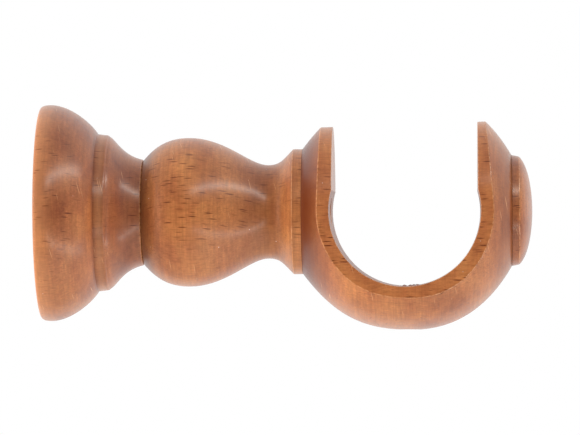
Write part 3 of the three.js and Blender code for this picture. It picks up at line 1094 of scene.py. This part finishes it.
def makeInsert():
    low, high = boxIn('threaded_insert')
    make = insertMake
    bore, root = make['bore'], make['root']
    start, end = low.x + make['margin'], high.x - make['margin']
    coarse = threadKnots(start, end, root, make['coarsePitch'], share=12)
    inner = threadKnots(start, end, bore, make['pitch'], share=6)
    bush = turnOnLathe('slotted_insert', [
        (low.x, bore), (low.x, root), *coarse,
        (high.x, root), (high.x, bore), *reversed(inner),
    ], [turnedBrass], closed=True, steps=64)
    windThread(bush, make['coarsePitch'], start, end, make['crest'] - root, root, make['coarseRidge'])
    windThread(bush, make['pitch'], start, end, make['groove'] - bore, bore)
    half, reach = make['slotWidth'] / 2, make['slotReach']
    cutWith(bush, block((low.x - past, -reach, -half), (low.x + make['slotDepth'], reach, half)))
    softenEdges(bush, make['soft'], **threadSoftening)
    return bush


cupScrewMake = {
    'radius': 2.5,
    'shankRadius': 2.3,
    'root': 1.7,
    'shank': 9,
    'shoulder': 1,             # slope from the root up to the shank
    'point': 4,
    'pitch': 2.4,
    'ridge': 0.28,
    'threadGap': 0.5,          # no thread this near to the shank
    'rim': 0.3,                # the head's thin edge
    'rimTaper': 0.05,
    'crossReach': 2.7,
    'crossHalf': 0.6,
    'crossDepth': 1.9,
    'soft': 0.05,
}


def makeCupScrew():
    low, high = boxIn('cup_screw')
    make = cupScrewMake
    head, root = high.z, make['root']
    cone = high.x - (head - make['radius'])
    shankEnd = cone - make['shank']
    start, end = low.x + make['point'], shankEnd - make['threadGap']
    screw = turnOnLathe('countersunk_screw', [
        (low.x, 0),
        *threadKnots(start, end, root, make['pitch'], share=12),
        (shankEnd, root),
        (shankEnd + make['shoulder'], make['shankRadius']),
        (cone, make['shankRadius']),
        (high.x - make['rim'], head),
        (high.x, head - make['rimTaper']),
        (high.x, 0),
    ], [zincPlate], steps=64)
    windThread(screw, make['pitch'], start, end, make['radius'] - root, root, make['ridge'])
    for long, wide in ((make['crossReach'], make['crossHalf']), (make['crossHalf'], make['crossReach'])):
        cutWith(screw, block((high.x - make['crossDepth'], -long, -wide), (high.x + past, long, wide)))
    softenEdges(screw, make['soft'], **threadSoftening)
    return screw


poleScrewMake = {
    'radius': 1.72,
    'root': 1.2,
    'point': 2.2,
    'pitch': 1.4,
    'ridge': 0.3,
    'threadFrom': 0.8,         # from under the head
    'dome': 0.6,               # fullness of the round head
    'slotHalf': 0.45,
    'slotDepth': 1.1,
    'slotReach': 9,
    'soft': 0.04,
}


def makePoleScrew():
    # turned along X with its head at the start, then stood up
    low, high = boxIn('pole_screw')
    make = poleScrewMake
    head, root = (high.x - low.x) / 2, make['root']
    seat = high.z - cupMake['lockLength']
    height = seat - low.z
    start, end = seat + make['threadFrom'], high.z - make['point']
    screw = turnOnLathe('round_head_screw', [
        (low.z, 0, None, (0, head * make['dome'])),
        (seat, head, (-height * make['dome'], 0), None),
        (seat, root),
        *threadKnots(start, end, root, make['pitch'], share=10),
        (high.z, 0),
    ], [turnedBrass], steps=48)
    windThread(screw, make['pitch'], start, end, make['radius'] - root, root, make['ridge'])
    half, reach = make['slotHalf'], make['slotReach']
    cutWith(screw, block((low.z - past, -half, -reach), (low.z + make['slotDepth'], half, reach)))
    softenEdges(screw, make['soft'], **threadSoftening)
    screw.rotation_euler = (0, -math.pi / 2, 0)
    screw.location = (lockPlace() * mm, 0, 0)
    settle(screw)
    return screw


print('turning the screws, stud and insert')
plate = makePlate()
stud = makeStud()
insert = makeInsert()
cupScrew = makeCupScrew()
poleScrew = makePoleScrew()


def install(piece, body, node):
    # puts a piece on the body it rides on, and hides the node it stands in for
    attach(piece, body)
    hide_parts(node)


print('fitting the pieces to the frame')
install(plate, 'wall_mount', 'wall_plate')
install(stud, 'wall_mount', 'mounting_stud')
install(rose, 'rose', 'wall_rose')
install(stem, 'arm', 'stem')
install(insert, 'arm', 'threaded_insert')
install(cupScrew, 'arm', 'cup_screw')
install(cup, 'arm', 'pole_cup')
install(button, 'arm', 'front_button')
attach(tornFibres, 'arm')
install(poleScrew, 'pole_lock', 'pole_screw')


studio = {
    'aim': (87.1, 0, -2.02),
    'camera': (145, -1540, -16.9),
    'roll': -0.3,              # degrees
    'lens': 273,
    'sensor': 36,
    'sightEnd': 20000,
    'floorDrop': 2400,         # the bracket hangs this high, and the lower lamps stand under it
    'floorSize': 4000,
    'floorColour': '#f0efed',
    'skyColour': '#ffffff',
    'behind': {1: -1, 2: 0.6, 3: 0.08, 4: 0.9},    # the sky's light, from the camera's side to behind
    'above': {1: -1, 2: 1, 3: 1.0, 4: 1.05},       # and from below to above
    'lampColour': '#fff8ef',
}

# Metres from the aim, and watts. A strip shows as a highlight, and a softbox only fills.
lamps = [
    {'name': 'upper_strip', 'place': (0.8, -0.75, 0.9), 'size': (2.0, 0.1), 'power': 10.5, 'fills': False},
    {'name': 'lower_strip', 'place': (0.9, -0.75, -0.78), 'size': (2.2, 0.1), 'power': 5.5, 'fills': False},
    {'name': 'under_softbox', 'place': (0.45, -0.2, -0.8), 'size': (1.0, 0.6), 'power': 4.6, 'fills': True},
    {'name': 'left_softbox', 'place': (-0.9, -0.25, 0), 'size': (0.6, 0.9), 'power': 14, 'fills': True},
]


def lookFrom(thing, place, aim, roll=0.0):
    view = Vector(aim) - Vector(place)
    turn = view.to_track_quat('-Z', 'Y').to_matrix().to_4x4()
    tilt = Matrix.Rotation(math.radians(roll), 4, 'Z')
    thing.matrix_world = Matrix.Translation(Vector(place)) @ turn @ tilt


def makeCamera():
    camera = bpy.data.objects.new('camera', bpy.data.cameras.new('camera'))
    bpy.context.scene.collection.objects.link(camera)
    camera.data.lens = studio['lens']
    camera.data.sensor_width = studio['sensor']
    camera.data.clip_end = studio['sightEnd'] * mm
    lookFrom(camera, Vector(studio['camera']) * mm, Vector(studio['aim']) * mm, studio['roll'])
    bpy.context.scene.camera = camera


def makeLamp(name, place, size, power, fills):
    lamp = bpy.data.lights.new(name, 'AREA')
    lamp.shape = 'RECTANGLE'
    lamp.size, lamp.size_y = size
    lamp.energy = power
    lamp.color = sRgb(studio['lampColour'])[:3]
    holder = bpy.data.objects.new(name, lamp)
    bpy.context.scene.collection.objects.link(holder)
    holder.visible_glossy = not fills
    aim = Vector(studio['aim']) * mm
    lookFrom(holder, aim + Vector(place), aim)


def makeSky():
    # white all round for the eye; as light it is brighter behind the bracket, and a little above it
    sky = bpy.data.worlds.new('studio')
    bpy.context.scene.world = sky
    sky.use_nodes = True
    tree = sky.node_tree
    tree.nodes.clear()
    way = addNode(tree, 'ShaderNodeTexCoord')
    parts = addNode(tree, 'ShaderNodeSeparateXYZ', links={0: way.outputs['Generated']})
    behind = addNode(tree, 'ShaderNodeMapRange', studio['behind'], {'Value': parts.outputs[1]})
    above = addNode(tree, 'ShaderNodeMapRange', studio['above'], {'Value': parts.outputs[2]})
    level = addNode(tree, 'ShaderNodeMath', {'operation': 'MULTIPLY'}, {
        0: behind.outputs[0], 1: above.outputs[0],
    })
    seen = addNode(tree, 'ShaderNodeLightPath')
    strength = addNode(tree, 'ShaderNodeMix', {'data_type': 'FLOAT', 3: 1.0}, {
        0: seen.outputs['Is Camera Ray'], 2: level.outputs[0],
    })
    light = addNode(tree, 'ShaderNodeBackground', {'Color': sRgb(studio['skyColour'])}, {
        'Strength': strength.outputs[0],
    })
    addNode(tree, 'ShaderNodeOutputWorld', links={'Surface': light.outputs[0]})


def makeFloor():
    # matt white paper, far enough down to stay out of the picture
    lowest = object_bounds()[0][2]
    clearSelection()
    bpy.ops.mesh.primitive_plane_add(size=studio['floorSize'] * mm)
    floor = bpy.context.object
    floor.name = 'floor'
    floor.location = (studio['aim'][0] * mm, 0, lowest - studio['floorDrop'] * mm)
    material, tree = newMaterial('matt_paper')
    shader = addNode(tree, 'ShaderNodeBsdfPrincipled', {
        'Base Color': sRgb(studio['floorColour']), 'Roughness': 0.9,
    })
    addNode(tree, 'ShaderNodeOutputMaterial', links={'Surface': shader.outputs[0]})
    floor.data.materials.append(material)


print('setting up the studio')
makeCamera()
makeSky()
makeFloor()
for lamp in lamps:
    makeLamp(**lamp)
bpy.context.scene.view_settings.view_transform = 'Standard'
